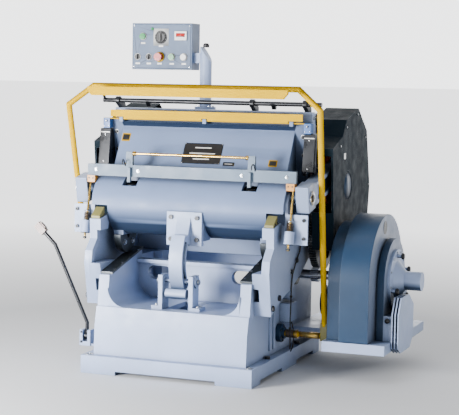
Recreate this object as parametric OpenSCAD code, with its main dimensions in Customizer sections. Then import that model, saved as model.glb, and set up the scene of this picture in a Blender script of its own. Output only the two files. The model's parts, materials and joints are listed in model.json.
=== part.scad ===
// Creasing and die cutting platen press. Millimetres, +Z up, the operator stands at -Y.
// Origin: floor level, at the centre of the rectangle of anchor bolts.

/* [Base casting] */
// Half the width of the base flange
flange_x = 581; // [560:1:620]
// Half the length of the base flange
flange_y = 690; // [680:1:720]
// Height of the top of the base flange
flange_top = 115; // [100:1:125]
// Height of the raised stretches of the flange above the floor
foot_h = 25; // [15:1:40]
// Outer face of the base side walls
wall_x = 520; // [520:1:520]
// Thickness of the base side walls
wall_t = 70; // [55:1:70]
// Height of the deck and of the front lip
deck_z = 420; // [410:1:425]
// Height of the base behind the rails
base_top = 700; // [700:1:700]
// Half the spacing of the anchor bolts across the machine
anchor_x = 545; // [535:1:550]
// Half the spacing of the anchor bolts front to back
anchor_y = 645; // [635:1:655]
// Diameter of the anchor bolt holes
anchor_d = 26; // [18:1:30]

/* [Rocking platen] */
// Radius of the platen drum
drum_r = 200; // [190:1:200]
// Radius of the rocker sectors
sector_r = 123.9; // [120:0.1:124]
// Half the width of the platen plate
plate_x = 683; // [660:1:683]
// Thickness of the platen plate
plate_t = 48; // [40:1:48]
// Diameter of the trunnion pins
trunnion_d = 70; // [60:1:70]

/* [Bed] */
// Half the width of the bed plate above the cheeks
bed_x = 700; // [690:1:700]
// Thickness of the bed plate
bed_t = 60; // [50:1:70]
// Outer face of the cheeks
cheek_x = 632; // [626:1:632]
// Lean of the bed and the platen plate
tilt = 11.86; // [11.86:0.01:11.86]

/* [Drive] */
// Gear module
gear_m = 6; // [6:1:6]
// Teeth on the crank gear
crank_teeth = 102; // [102:1:102]
// Teeth on the idler gear
idler_teeth = 73; // [73:1:73]
// Teeth on the pinion
pinion_teeth = 15; // [15:1:15]
// Diameter of the main shaft
main_d = 110; // [90:1:110]
// Diameter of the drive shaft
drive_d = 60; // [50:1:60]
// Radius of the flywheel
flywheel_r = 345; // [330:1:348]
// Radius of the motor pulley
pulley_r = 40; // [34:1:44]

/* [Guards] */
// Diameter of the guard tube
tube_d = 38; // [32:1:38]
// Sheet thickness of the covers
sheet = 4; // [2:0.5:5]
// Width of the control box
box_w = 458; // [440:1:470]
// Height of the control box
box_h = 326; // [310:1:330]

/* [Hidden] */
$fn = 64;

// Points of the mechanism, as [y, z]
rock = [-210, 720];
drum = [-190, 1055];
sector = [-190, 850];
trunnion = [-270, 1150];
main_c = [550, 1323];
train_dir = [0.4047, 0.9144];
idler_c = main_c - gear_m * (crank_teeth + idler_teeth) / 2 * train_dir;
drive_c = idler_c - gear_m * (idler_teeth + pinion_teeth) / 2 * train_dir;
train_a = atan2(train_dir[1], train_dir[0]);
crank_pin = main_c + [162, 34];
motor_c = [730, 350];
plinth_z = 240;
roller_c = [-475, 600];
guard_c = [-30, 240];
rail_t = 14;
bar_a = 11.9;
bar_l = 1003.6;
bar_x = [722, 806];
gear_x = [665, 715];
slope_top = [-22, 1555];
rod_a = 12.87;
rod_top = [-318, 1215];
rod_x = 702;
buffer_d = 66;
lever_c = [-290, 160];
panel_y = 530;
box_x = -807;
box_z = 1940;

// ---- shared shapes
module bx(x, y, z) translate([x[0], y[0], z[0]]) cube([x[1] - x[0], y[1] - y[0], z[1] - z[0]]);
module px(x) translate([x[0], 0, 0]) rotate([90, 0, 90]) linear_extrude(x[1] - x[0]) children();
module py(y) translate([0, y[1], 0]) rotate([90, 0, 0]) linear_extrude(y[1] - y[0]) children();
module cx(x, c, d) translate([x[0], c[0], c[1]]) rotate([0, 90, 0]) cylinder(h = x[1] - x[0], d = d);
module cy(y, c, d) translate([c[0], y[0], c[1]]) rotate([-90, 0, 0]) cylinder(h = y[1] - y[0], d = d);
module cz(z, c, d) translate([c[0], c[1], z[0]]) cylinder(h = z[1] - z[0], d = d);
module ring_x(x, c, d, bore) difference() {
  cx(x, c, d);
  cx([x[0] - 1, x[1] + 1], c, bore);
}
module both() {
  children();
  mirror([1, 0, 0]) children();
}
module disc(c, r) translate(c) circle(r);
module hex_x(x, c, w) translate([x[0], c[0], c[1]]) rotate([0, 90, 0]) cylinder(h = x[1] - x[0], d = w, $fn = 6);
module hex_y(y, c, w) translate([c[0], y[0], c[1]]) rotate([-90, 0, 0]) cylinder(h = y[1] - y[0], d = w, $fn = 6);
// Straight rod between two points; a ball a little larger than the tube closes each bend
module rod(p, q, d) {
  v = q - p;
  l = norm(v);
  translate(p) rotate([0, acos(v[2] / l), atan2(v[1], v[0])]) cylinder(h = l, d = d);
}
module joint_ball(p, d) translate(p) sphere(d = d + 0.8);
// Frame on the bed face: y is the depth behind the face, z runs up the face
module on_bed() translate([0, 55, 1600]) rotate([tilt, 0, 0]) children();
module on_plate() translate([0, 13, 1600]) rotate([tilt, 0, 0]) children();
module on_rod(x) translate([x, rod_top[0], rod_top[1]]) rotate([-rod_a, 0, 0]) children();
function bed_y(z) = 55 + 0.21 * (1600 - z);
function plate_y(z) = bed_y(z) - 90;
function rail_z(y) = 637 + 0.2463 * (y + 535);
// Convex outline, listed anticlockwise, pulled in by d
function unit(v) = v / norm(v);
function left_of(p, q) = let (u = unit(q - p)) [-u[1], u[0]];
function cross2(a, b) = a[0] * b[1] - a[1] * b[0];
function meet(p, u, q, v) = p + u * cross2(q - p, v) / cross2(u, v);
function inset(o, d) = let (n = len(o)) [for (i = [0 : n - 1])
  let (a = o[(i + n - 1) % n], b = o[i], c = o[(i + 1) % n])
  meet(a + d * left_of(a, b), b - a, b + d * left_of(b, c), c - b)];

// Spur gear outline with straight-sided teeth and working backlash
module gear_2d(n, at) {
  r = gear_m * n / 2;
  half = [1.5, 3.7, 5.2];
  rad = [r + 4.8, r, r - 7.2];
  polygon([for (i = [0 : n - 1], s = [[-1, 2], [-1, 1], [-1, 0], [1, 0], [1, 1], [1, 2]])
    let (k = s[1], a = at + 360 * i / n + s[0] * half[k] / rad[k] * 57.2958)
    rad[k] * [cos(a), sin(a)]]);
}
module gear(x, c, n, at) px(x) translate(c) gear_2d(n, at);

// ---- base
module base_side() polygon([[-625, 115], [-612, 300], [-575, 425], [-552, rail_z(-552) - rail_t],
  [-56, rail_z(-56) - rail_t], [-40, base_top], [flange_y - 10, base_top], [flange_y - 10, 115]]);
module slot_2d(w, h) union() {
  square([w - h, h], center = true);
  for (s = [-1, 1]) translate([s * (w - h) / 2, 0]) circle(d = h);
}
module base() color([0.78, 0.82, 0.88]) difference() {
  inner = wall_x - wall_t;
  union() {
    bx([-flange_x, flange_x], [-flange_y, flange_y], [foot_h, flange_top]);
    both() {
      bx([340, flange_x], [-flange_y, -530], [0, foot_h]);
      bx([430, flange_x], [-110, 190], [0, foot_h]);
      bx([430, flange_x], [550, flange_y], [0, foot_h]);
      px([inner, wall_x]) base_side();
      py([-575, -90]) difference() {
        translate([inner - 120, deck_z - 1]) square([121, 121]);
        disc([inner - 120, deck_z + 120], 120);
      }
    }
    px([-wall_x, wall_x]) polygon([[-630, 114], [-618, 300], [-592, deck_z], [-535, deck_z],
      [-560, 300], [-572, 114]]);
    bx([-inner - 1, inner + 1], [-560, -60], [deck_z - 30, deck_z]);
    px([-inner - 1, inner + 1]) polygon([[-90, deck_z - 30], [-90, 655], [-130, 655], [-130, 678],
      [-40, 678], [-40, deck_z - 30]]);
    bx([-inner - 1, inner + 1], [640, 680], [115, base_top]);
    cx([430, wall_x + 4], drive_c, 150);
    both() bx([inner - 60, inner + 1], [150, 200], [115, base_top]);
    both() bx([wall_x - 1, 600], [150, 320], [base_top - 20, base_top]);
  }
  bx([-inner, inner], [-572, 640], [-1, flange_top + 1]);
  for (x = [-anchor_x, anchor_x], y = [-anchor_y, anchor_y]) cz([-1, 130], [x, y], anchor_d);
  bx([-85, 85], [-480, -150], [deck_z - 40, deck_z + 10]);
  both() py([-100, -20]) translate([300, 590]) slot_2d(170, 90);
  cx([400, 560], drive_c, 90.2);
  bx([-300, 300], [600, 700], [250, 560]);
}
module rocker_rails() color([0.25, 0.27, 0.3]) both() px([wall_x - 85, wall_x])
  polygon([[-535, rail_z(-535)], [-56, rail_z(-56)], [-56, rail_z(-56) - rail_t], [-535, rail_z(-535) - rail_t]]);

// ---- bed
module bed_slab(z0, z1) polygon([[bed_y(z0), z0], [bed_y(z1), z1], [bed_y(z1) + bed_t, z1], [bed_y(z0) + bed_t, z0]]);
module bed_frame() color([0.8, 0.83, 0.88]) difference() {
  union() {
    px([-bed_x, bed_x]) bed_slab(1300, 1680);
    px([-625, 625]) bed_slab(base_top, 1301);
    both() px([540, 600]) polygon([[bed_y(base_top) + 10, base_top], [bed_y(1660) + 10, 1660],
      [400, 1660], [690, 1480], [690, base_top]]);
    bx([-600, 600], [60, 690], [1640, 1662]);
    px([-560, 560]) polygon([[640, base_top], [640, 1642], [690, 1642], [690, base_top]]);
    for (x = [-300, 0, 300]) px([x - 20, x + 20]) polygon([[bed_y(800) + 20, 800],
      [bed_y(1645) + 20, 1645], [300, 1645], [bed_y(800) + 90, 800]]);
  }
  cx([-800, 800], main_c, 150);
  bx([-400, 400], [600, 700], [800, 1500]);
  cx([500, 640], idler_c, 70);
}
module cheek() {
  px([600, cheek_x]) polygon([[-497, 420], [-310, 500], [-113, 545], [68, 614], [bed_y(760), 700],
    [bed_y(925), 925], [-60, 925], [-250, 958], [-360, 994], [-473, 967], [-467, 840],
    [-536, 769], [-550, 690], [-523, 562]]);
  px([581, 601]) polygon([[-549, 689], [-536, 769], [-467, 840], [-470, 900], [-425, 900],
    [-424, 822], [-496, 752], [-508, 689]]);
  px([555, 601]) polygon([[-470, 895], [-473, 967], [-360, 994], [-330, 984], [-360, 895]]);
  difference() {
    px([wall_x, 601]) polygon([[-497, 420], [-523, 562], [-549, 689], [-320, 689], [-320, 497]]);
    bx([wall_x - 1, 560], [-560, -430], [510, 590]);
  }
}
module cheek_right() color([0.75, 0.79, 0.86]) cheek();
module cheek_left() color([0.75, 0.79, 0.86]) mirror([1, 0, 0]) cheek();
module cheek_pads() color([0.48, 0.47, 0.25]) both() px([565, 627]) intersection() {
  polygon([[-465, 969], [-392, 986.5], [-392, 1040], [-465, 1022]]);
  disc(rock, 369);
}
module guide_brackets() color([0.72, 0.76, 0.84]) {
  both() difference() {
    union() {
      bx([90, 118], [-530, -425], [deck_z + 1, 640]);
      bx([90, 165], [-530, -425], [deck_z, deck_z + 22]);
      cx([89, 128], roller_c, 76);
    }
    cx([80, 140], roller_c, 24);
  }
  cx([-132, 132], roller_c, 24);
  ring_x([-60, 60], roller_c, 38, 24);
}
module die_chase() color([0.35, 0.37, 0.4]) on_bed() difference() {
  bx([-520, 520], [-32, -0.1], [-600, -40]);
  bx([-465, 465], [-40, 10], [-545, -95]);
}
module shaft_brackets() color([0.2, 0.22, 0.25]) for (x = [-663, 300, 663]) difference() {
  px([x - 15, x + 15]) union() {
    disc([10, 1728], 27);
    polygon([[0, 1705], [40, 1680], [98, 1680], [98, 1702], [30, 1746]]);
  }
  cx([x - 20, x + 20], [10, 1728], 30.1);
}

// ---- covers
cover_o = [[23, 1448], [96, 783], [640, 690], [900, 960], [931, 1160], [828, 1544], [606, 1700],
  [327, 1628], [240, 1520]];
module cover_shell(far) difference() {
  px([620, far]) polygon(cover_o);
  px([600, far - sheet]) polygon(inset(cover_o, sheet));
  px([600, bed_x + 3]) polygon([[bed_y(1290) - 300, 1270], [bed_y(1760) - 3, 1760],
    [bed_y(1760) + bed_t + 3, 1760], [bed_y(1270) + bed_t + 3, 1270]]);
  bx([600, far - 14], [0, 160], [1030, 1400]);
  bx([600, 702], [0, 300], [760, 1700]);
  px([600, far - sheet]) polygon([[100, 770], [640, 670], [640, 720], [120, 800]]);
}
module gear_cover_right() color([0.2, 0.27, 0.34]) difference() {
  cover_shell(850);
  cx([840, 860], [385, 1187], 180);
}
module gear_cover_left() color([0.2, 0.27, 0.34]) mirror([1, 0, 0]) cover_shell(850);
// Arched housing round the flywheel and the motor pulley
module arch(r) intersection() {
  union() {
    disc(drive_c, r);
    translate([drive_c[0] - r, plinth_z]) square([2 * r, drive_c[1] - plinth_z]);
  }
  translate([drive_c[0] - r, plinth_z]) square([2 * r, 900]);
}
module arch_rear(r) {
  arch(r);
  polygon([[drive_c[0], plinth_z], [drive_c[0] + 0.5 * r, drive_c[1] + 0.866 * r], [820, 430], [820, plinth_z]]);
}
module flywheel_guard() color([0.22, 0.32, 0.44]) difference() {
  union() {
    px([885, 981]) arch(370);
    px([980, 1170]) arch_rear(425);
    px([1169, 1185]) arch(250);
    px([1184, 1228]) arch(270);
  }
  px([885 + sheet, 990]) arch(370 - sheet);
  px([980 + sheet, 1170 - sheet]) arch_rear(425 - 2 * sheet);
  px([1160, 1190]) arch(250 - sheet);
  px([1184 + sheet, 1228 - sheet]) arch(270 - sheet);
  cx([800, 1300], drive_c, 110);
  cx([940, 1020], motor_c, 60);
}
module drive_cover() color([0.62, 0.66, 0.76]) {
  difference() {
    union() {
      cx([1228, 1246], drive_c, 400);
      translate([1245, drive_c[0], drive_c[1]]) rotate([0, 90, 0]) cylinder(h = 57, r1 = 130, r2 = 61.5);
    }
    cx([1220, 1275], drive_c, 80);
  }
  cx([1301, 1410], drive_c, 123);
  for (p = stud_at) cx([1245, 1272], p, 24);
  bx([1228, 1286], [-40, 330], [plinth_z, 402]);
  bx([1285, 1330], [0, 250], [230, 400]);
  for (x = [1286, 1306, 1326]) px([x, x + 8]) polygon([[-60, 200], [0, 165], [250, 165], [330, 230],
    [330, 440], [200, 520], [0, 520], [-60, 420]]);
}
stud_at = [for (a = [20, 96, 200, 315]) drive_c + 160 * [cos(a), sin(a)]];
module drive_plinth() color([0.78, 0.8, 0.84]) difference() {
  union() {
    bx([870, 1282], [-200, 860], [plinth_z - 65, plinth_z]);
    bx([wall_x, 880], [250, 860], [plinth_z - 65, plinth_z]);
  }
  bx([882, 1270], [-188, 848], [plinth_z - 70, plinth_z - 12]);
  bx([wall_x + 12, 890], [262, 848], [plinth_z - 70, plinth_z - 12]);
}
module motor() color([0.3, 0.36, 0.42]) difference() {
  union() {
    cx([600, 900], motor_c, 220);
    cx([900, 925], motor_c, 200);
    bx([640, 860], [motor_c[0] - 90, motor_c[0] + 90], [plinth_z, 262]);
    bx([690, 810], [motor_c[0] - 60, motor_c[0] + 60], [440, 485]);
  }
  cx([700, 930], motor_c, 28.1);
}
// Tangent to two pulleys: the outer outline of a belt at height h above both rims
function belt_quad(h) = let (
    v = motor_c - drive_c, l = norm(v), u = v / l, b = acos((flywheel_r - pulley_r) / l),
    turn = function(a) [u[0] * cos(a) - u[1] * sin(a), u[0] * sin(a) + u[1] * cos(a)])
  [drive_c + (flywheel_r + h) * turn(-b), motor_c + (pulley_r + h) * turn(-b),
    motor_c + (pulley_r + h) * turn(b), drive_c + (flywheel_r + h) * turn(b)];
module belt_2d(h) {
  disc(drive_c, flywheel_r + h);
  disc(motor_c, pulley_r + h);
  polygon(belt_quad(h));
}
module drive_belts() color([0.12, 0.12, 0.13]) for (x = [1040, 1072, 1104]) px([x, x + 18]) difference() {
  belt_2d(10.2);
  belt_2d(0.5);
}

// ---- controls
module control_post() color([0.8, 0.82, 0.86]) {
  difference() {
    cz([1662, 2104], [-268, 600], 84);
    py([550, 650]) polygon([[-300, 2110], [-220, 1990], [-220, 2110]]);
  }
  cz([1662, 1684], [-268, 600], 150);
  bx([box_x + box_w, -280], [575, 625], [1990, 2060]);
}
module control_box() color([0.82, 0.83, 0.85]) difference() {
  union() {
    bx([box_x, box_x + box_w], [panel_y + 4, panel_y + 150], [box_z, box_z + box_h]);
    bx([box_x + 10, box_x + box_w - 10], [panel_y, panel_y + 5], [box_z + 10, box_z + box_h - 10]);
  }
  bx([box_x + 3, box_x + box_w - 3], [panel_y + 8, panel_y + 145], [box_z + 3, box_z + box_h - 3]);
  bx([box_x + 60, box_x + box_w - 60], [panel_y + 140, panel_y + 155], [box_z + 60, box_z + box_h - 60]);
  for (p = control_points) cy([panel_y - 5, panel_y + 15], p[0], p[1]);
}
control_points = [[[-721, 2172], 24.2], [[-583, 2167], 40.2], [[-761, 2029], 22.2], [[-675, 2029], 22.2],
  [[-592, 2029], 24.2], [[-499, 2029], 24.2], [[-407, 2029], 24.2]];
module button(i, cap_d, out, tone) color(tone) {
  cy([panel_y - 8, panel_y + 45], control_points[i][0], control_points[i][1] - 0.1);
  cy([panel_y - out, panel_y - 8], control_points[i][0], cap_d);
}
module dial(i, cap_d, out, tone) color(tone) {
  cy([panel_y - 1, panel_y + 45], control_points[i][0], control_points[i][1] - 0.1);
  cy([panel_y - 12, panel_y - 1], control_points[i][0], cap_d);
  p = control_points[i][0];
  bx([p[0] - 5, p[0] + 5], [panel_y - out, panel_y - 11], [p[1] - cap_d / 2.4, p[1] + cap_d / 2.4]);
}
module button_start() button(0, 44, 20, [0.1, 0.55, 0.25]);
module timer_knob() dial(1, 66, 24, [0.1, 0.1, 0.1]);
module selector_a() dial(2, 38, 26, [0.08, 0.08, 0.08]);
module selector_b() dial(3, 38, 26, [0.08, 0.08, 0.08]);
module estop() button(4, 56, 42, [0.75, 0.1, 0.08]);
module button_inch() button(5, 44, 20, [0.1, 0.55, 0.25]);
module button_light() button(6, 44, 20, [0.92, 0.92, 0.9]);

// ---- guard
leg_low = [660, -168, 905];
function post_at(z) = [841, guard_c[0] - 0.2 * (z - guard_c[1]), z];
module guard_frame() color([0.92, 0.75, 0.05]) {
  top = [709, -273, 1826];
  bend = [866, -322, 1700];
  both() {
    rod(bend, top, tube_d);
    joint_ball(bend, tube_d);
    joint_ball(top, tube_d);
  }
  rod([-709, -273, 1826], top, tube_d);
  rod(post_at(300), bend, tube_d);
  mirror([1, 0, 0]) {
    rod(post_at(1000), bend, tube_d);
    rod(post_at(1000), leg_low, tube_d);
    rod(leg_low, [660, guard_c[0], guard_c[1] + 30], tube_d);
    joint_ball(post_at(1000), tube_d);
    joint_ball(leg_low, tube_d);
    ring_x([640, 682], guard_c, 70, 35);
    cx([wall_x + 6, 684], guard_c, 36);
  }
  cx([wall_x + 6, 866], guard_c, 36);
  bx([818, 863], [guard_c[0] - 30, guard_c[0] + 24], [guard_c[1] - 28, guard_c[1] + 90]);
  for (x = [-560, 0, 560]) bx([x - 15, x + 15], [-400, -280], [1790, 1812]);
  py([-424, -398]) polygon([[-684, 1822], [-684, 1798], [-655, 1765], [655, 1765], [684, 1798], [684, 1822]]);
}
module guard_bearings() color([0.3, 0.36, 0.42]) both() {
  ring_x([wall_x, wall_x + 34], guard_c, 120, 36.1);
  ring_x([wall_x + 33, wall_x + 52], guard_c, 74, 36.1);
}
module guard_springs() color([0.35, 0.3, 0.2]) both() for (i = [0 : 7])
  translate([580 + 7 * i, guard_c[0], guard_c[1]]) rotate([0, 90, 0]) rotate_extrude()
    translate([25, 0]) circle(d = 6);

// ---- hand lever and side fittings
module hand_lever() color([0.1, 0.11, 0.13]) difference() {
  foot = [-735, lever_c[0], 250];
  bend = [-978, lever_c[0], 760];
  tip = [-1070, lever_c[0], 848];
  union() {
    rod([-735, lever_c[0], lever_c[1]], foot, 25);
    rod(foot, bend, 25);
    rod(bend, tip, 25);
    joint_ball(foot, 25);
    joint_ball(bend, 25);
    cx([-750, -720], lever_c, 44);
  }
  cx([-760, -710], lever_c, 20.1);
}
module lever_grip() color([0.82, 0.74, 0.72]) translate([-1070, lever_c[0], 848])
  rotate([0, -46.3, 0]) difference() {
    union() {
      translate([-24, -20, -18]) cube([48, 40, 78]);
      translate([24, -12, 2]) cube([8, 24, 46]);
    }
    translate([0, 0, -20]) cylinder(h = 22, d = 25.2);
  }
module side_fittings() color([0.78, 0.8, 0.84]) {
  difference() {
    bx([-775, -695], [lever_c[0] - 35, lever_c[0] + 35], [98, 205]);
    bx([-752, -718], [lever_c[0] - 40, lever_c[0] + 40], [128, 210]);
  }
  cx([-770, -700], lever_c, 20);
  bx([-696, -flange_x], [lever_c[0] - 25, lever_c[0] + 25], [98, 114]);
  for (y = [-215, -150]) bx([wall_x, wall_x + 14], [y, y + 30], [150, 400]);
  bx([wall_x, wall_x + 70], [0, 150], [305, 430]);
  bx([wall_x, wall_x + 60], [60, 130], [450, 540]);
}
module sweep(path, d) {
  sides = 8;
  n = len(path);
  pts = [for (i = [0 : n - 1]) let (
      v = unit(path[min(i + 1, n - 1)] - path[max(i - 1, 0)]),
      s = unit(cross(v, [0, 1, 0.03])), t = cross(v, s))
    for (k = [0 : sides - 1]) path[i] + d / 2 * (s * cos(360 * k / sides) + t * sin(360 * k / sides))];
  polyhedron(pts, concat([[for (k = [0 : sides - 1]) k]],
    [for (i = [0 : n - 2], k = [0 : sides - 1])
      [i * sides + k, (i + 1) * sides + k, (i + 1) * sides + (k + 1) % sides, i * sides + (k + 1) % sides]],
    [[for (k = [sides - 1 : -1 : 0]) (n - 1) * sides + k]]), convexity = 4);
}
cable_a = [[640, 60, 930], [646, 40, 840], [645, 10, 780], [643, -70, 700], [642, -120, 640], [641, -135, 560],
  [640, -135, 460], [637, -132, 360], [633, -120, 290], [628, -100, 220], [622, -80, 150]];
cable_b = [[572, 90, 302], [584, 84, 265], [600, 68, 225], [606, 40, 180], [606, 20, 140], [600, 0, 116]];
module cable_run() color([0.08, 0.08, 0.09]) {
  sweep(cable_a, 10);
  sweep(cable_b, 8);
}
module frame_bolts() color([0.15, 0.16, 0.18]) {
  both() {
    for (p = [[-480, 470], [-360, 520]]) hex_x([cheek_x, cheek_x + 14], p, 38);
    for (y = [350, 460, 570]) cz([base_top, base_top + 16], [wall_x - 15, y], 30);
    for (a = [30 : 60 : 330]) hex_x([wall_x + 34, wall_x + 40], guard_c + 48 * [cos(a), sin(a)], 14);
  }
  for (x = [-anchor_x, anchor_x], y = [-300, 300]) cz([flange_top, flange_top + 18], [x, y], 36);
}
module bearings() color([0.5, 0.52, 0.55]) {
  both() difference() {
    union() {
      cx([535, 600], main_c, 150);
      cx([600, 622], main_c, 200);
    }
    cx([500, 640], main_c, main_d + 0.1);
  }
  difference() {
    union() {
      cx([455, 524], drive_c, 90);
      cx([524, 560], drive_c, 150);
    }
    cx([440, 570], drive_c, drive_d + 0.1);
  }
}
module idler_axle() color([0.6, 0.62, 0.65]) {
  cx([541, 724], idler_c, 70);
  ring_x([600, 664.6], idler_c, 110, 60);
  cx([715.4, 720], idler_c, 100);
}

// ---- platen
module platen_ribs() polygon([[slope_top[0], slope_top[1]], [trunnion[0] + 6, 1130], [drum[0], 930],
  [plate_y(990) + 5, 990], [plate_y(1590) + 5, 1590], [-60, 1590]]);
module clear_of_cheeks() difference() {
  children();
  disc(rock, 378);
}
module platen() color([0.8, 0.83, 0.89]) difference() {
  union() {
    px([-548, 548]) disc(drum, drum_r);
    both() px([548, 660]) clear_of_cheeks() disc(drum, drum_r);
    both() px([548, 606]) clear_of_cheeks() platen_ribs();
    for (x = [-300, 300]) px([x - 20, x + 20]) platen_ribs();
    px([-606, 606]) polygon([[slope_top[0], slope_top[1]], [-60, 1590], [plate_y(1590) + 5, 1590],
      [plate_y(1560), 1560], [4, 1550], [-172, 1240], [-210, 1225]]);
    px([-plate_x, plate_x]) polygon([[plate_y(1600), 1600], [plate_y(1600) + plate_t, 1600],
      [plate_y(1200) + plate_t, 1200], [plate_y(1200), 1200]]);
    px([-606, 606]) polygon([[plate_y(1201), 1201], [plate_y(1201) + plate_t, 1201],
      [plate_y(985) + plate_t, 985], [plate_y(985), 985]]);
    both() {
      cx([655, 806.5], trunnion, trunnion_d);
      bx([478, 545], [-290, -90], [852, 900]);
    }
    bx([-125, 125], [-362, -260], [850, 1040]);
    for (x = [-600, 0, 600]) difference() {
      bx([x - 12, x + 12], [-84, -20], [1588, 1618]);
      cx([x - 13, x + 13], [-72, 1608], 10.1);
    }
  }
  cx([-500, 500], drum, 2 * drum_r - 60);
  bx([-260, 260], [-190, 60], [1010, 1110]);
  both() bx([364, 464], [-345, -262], [1166, 1238]);
}
module cutting_plate() color([0.75, 0.77, 0.8]) on_plate() bx([-560, 560], [0, 4], [-590, -20]);
module rocker_sectors() color([0.3, 0.32, 0.35]) both() px([485, 535]) difference() {
  disc(sector, sector_r);
  translate([sector[0] - 200, sector[1] + 2]) square([400, 200]);
  polygon([[sector[0] - 28, sector[1] + 3], [sector[0], sector[1] - 30], [sector[0] + 28, sector[1] + 3]]);
}
module sector_of(a0, a1, l) polygon([rock, rock + l * [cos(a0), sin(a0)],
  rock + l * [cos((a0 + a1) / 2), sin((a0 + a1) / 2)], rock + l * [cos(a1), sin(a1)]]);
module band(r0, r1, a0, a1) intersection() {
  difference() {
    disc(rock, r1);
    disc(rock, r0);
  }
  sector_of(a0, a1, 460);
}
module guide_arm() color([0.76, 0.8, 0.87]) difference() {
  union() {
    px([-45, 45]) difference() {
      union() {
        band(256, 328, 148, 216);
        polygon([[-484, 870], [-400, 925], [-362, 925], [-362, 822], [-430, 830]]);
      }
      translate([-340, 700]) square([60, 400]);
    }
    px([-70, 70]) disc([-505, 522], 32);
    bx([-120, 120], [-400, -362], [820, 1035]);
    px([-45, 45]) polygon([[-400, 1000], [-450, 880], [-400, 850]]);
  }
  cx([-130, 130], drum, 2 * drum_r + 0.2);
  px([-80, 80]) {
    band(271, 311, 157, 204.4);
    for (a = [157, 204.4]) disc(rock + 291 * [cos(a), sin(a)], 20);
  }
}
module arm_bolts() color([0.18, 0.19, 0.21]) {
  for (p = [[-90, 1000], [90, 1000], [90, 860], [-90, 860]]) hex_y([-414, -400], p, 30);
  both() for (y = [-250, -130]) cx([535, 543], [y, 815], 30);
}
module platen_side_covers() color([0.1, 0.11, 0.13]) both() px([plate_x, 757])
  polygon([[-99, 1300], [-66, 1540], [4, 1540], [40, 1300]]);
module side_switches() color([0.15, 0.35, 0.65]) both() bx([plate_x, 732], [-80, -25], [1541, 1610]);
module trunnion_caps() color([0.55, 0.57, 0.6]) both() cx([806.5, 817], trunnion, 88);
module buffer_brackets() color([0.82, 0.84, 0.9]) both() difference() {
  union() {
    px([660, 676]) polygon([[-345, 860], [-345, 1120], [-300, 1178], [-258, 1178], [-300, 1090], [-330, 860]]);
    bx([670, 808], [-345, -329], [860, 1048]);
    bx([rod_x - 20, rod_x + 20], [-374, -344], [870, 936]);
  }
  cx([650, 690], trunnion, trunnion_d + 2);
  on_rod(rod_x) translate([0, 0, -400]) cylinder(h = 160, d = buffer_d + 0.1);
}
module buffer_cylinders() color([0.88, 0.89, 0.92]) both() on_rod(rod_x) difference() {
  translate([0, 0, -360]) cylinder(h = 82, d = buffer_d);
  translate([0, 0, -361]) cylinder(h = 84, d = 14.1);
}
module buffer_springs() color([0.7, 0.6, 0.5]) both() on_rod(rod_x) for (i = [0 : 4])
  translate([0, 0, -273 + 11 * i]) rotate_extrude() translate([16, 0]) circle(d = 6);
module safety_strip() color([0.9, 0.74, 0.08]) {
  cx([-plate_x, plate_x], [-72, 1608], 10);
  px([-676, 676]) polygon([[-86, 1621], [-80, 1621], [-80, 1666], [-86, 1666]]);
  for (x = [-580, 20]) px([x, x + 560]) polygon([[-86, 1611], [-80, 1611], [-80, 1622], [-86, 1622]]);
  for (x = [-560, 40]) bx([x, x + 520], [-82, -68], [1610, 1616]);
}

// ---- trip bar
module trip_bar() color([0.84, 0.86, 0.9]) {
  bx([-720, 720], [-330, -302], [1240, 1315]);
  both() {
    px([400, 446]) polygon([[-330, 1300], [-302, 1300], [-304, 1402], [-326, 1402]]);
    bx([406, 426], [-352, -329], [1205, 1300]);
  }
}
module trip_rods() color([0.8, 0.6, 0.2]) {
  cx([-400, 400], [-315, 1390], 16);
  both() on_rod(rod_x) translate([0, 0, -400]) cylinder(h = 396, d = 14);
}
module trip_blocks() color([0.85, 0.5, 0.1]) both() difference() {
  bx([662, 716], [-345, -300], [1195, 1240]);
  on_rod(rod_x) translate([0, 0, -60]) cylinder(h = 56, d = 14);
}

// ---- draw bars and crank
module draw_bar() translate([0, trunnion[0], trunnion[1]]) rotate([bar_a, 0, 0]) difference() {
  px(bar_x) {
    translate([-62, -84]) square([140, 168]);
    translate([70, -70]) square([bar_l - 60, 140]);
    disc([bar_l, 0], 92);
  }
  cx([700, 830], [0, 0], trunnion_d + 0.1);
  cx([700, 830], [bar_l, 0], 60);
  for (x = [[700, 749], [779, 830]]) bx(x, [130, 880], [-45, 45]);
}
module draw_bar_right() color([0.82, 0.84, 0.9]) draw_bar();
module draw_bar_left() color([0.82, 0.84, 0.9]) mirror([1, 0, 0]) draw_bar();
module main_shaft() color([0.7, 0.72, 0.75]) {
  cx([-720, 720], main_c, main_d);
  both() cx([622.5, 640], main_c, 150);
}
module crank_gear() color([0.6, 0.12, 0.1]) difference() {
  union() {
    gear(gear_x, main_c, crank_teeth, train_a);
    cx([640, 716], main_c, 190);
    cx([660, 720], crank_pin, 90);
  }
  cx([600, 760], main_c, main_d + 0.02);
  for (a = [70 : 50 : 320]) cx([600, 760], main_c + 205 * [cos(a), sin(a)], 110);
}
module crank_disc() color([0.35, 0.37, 0.4]) difference() {
  union() {
    cx([-gear_x[1], -gear_x[0]], main_c, 470);
    cx([-716, -640], main_c, 190);
    cx([-720, -660], crank_pin, 90);
  }
  cx([-760, -600], main_c, main_d + 0.02);
}
module idler_gear() color([0.3, 0.32, 0.34]) difference() {
  gear(gear_x, idler_c, idler_teeth, train_a + 180 / idler_teeth);
  cx([600, 760], idler_c, 70.1);
  for (a = [0 : 60 : 300]) cx([600, 760], idler_c + 125 * [cos(a), sin(a)], 90);
}
module drive_shaft() color([0.6, 0.62, 0.66]) {
  cx([440, 1262], drive_c, drive_d);
  gear(gear_x, drive_c, pinion_teeth, train_a + 180 / pinion_teeth);
  cx([895, 985], drive_c, 260);
}
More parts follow.
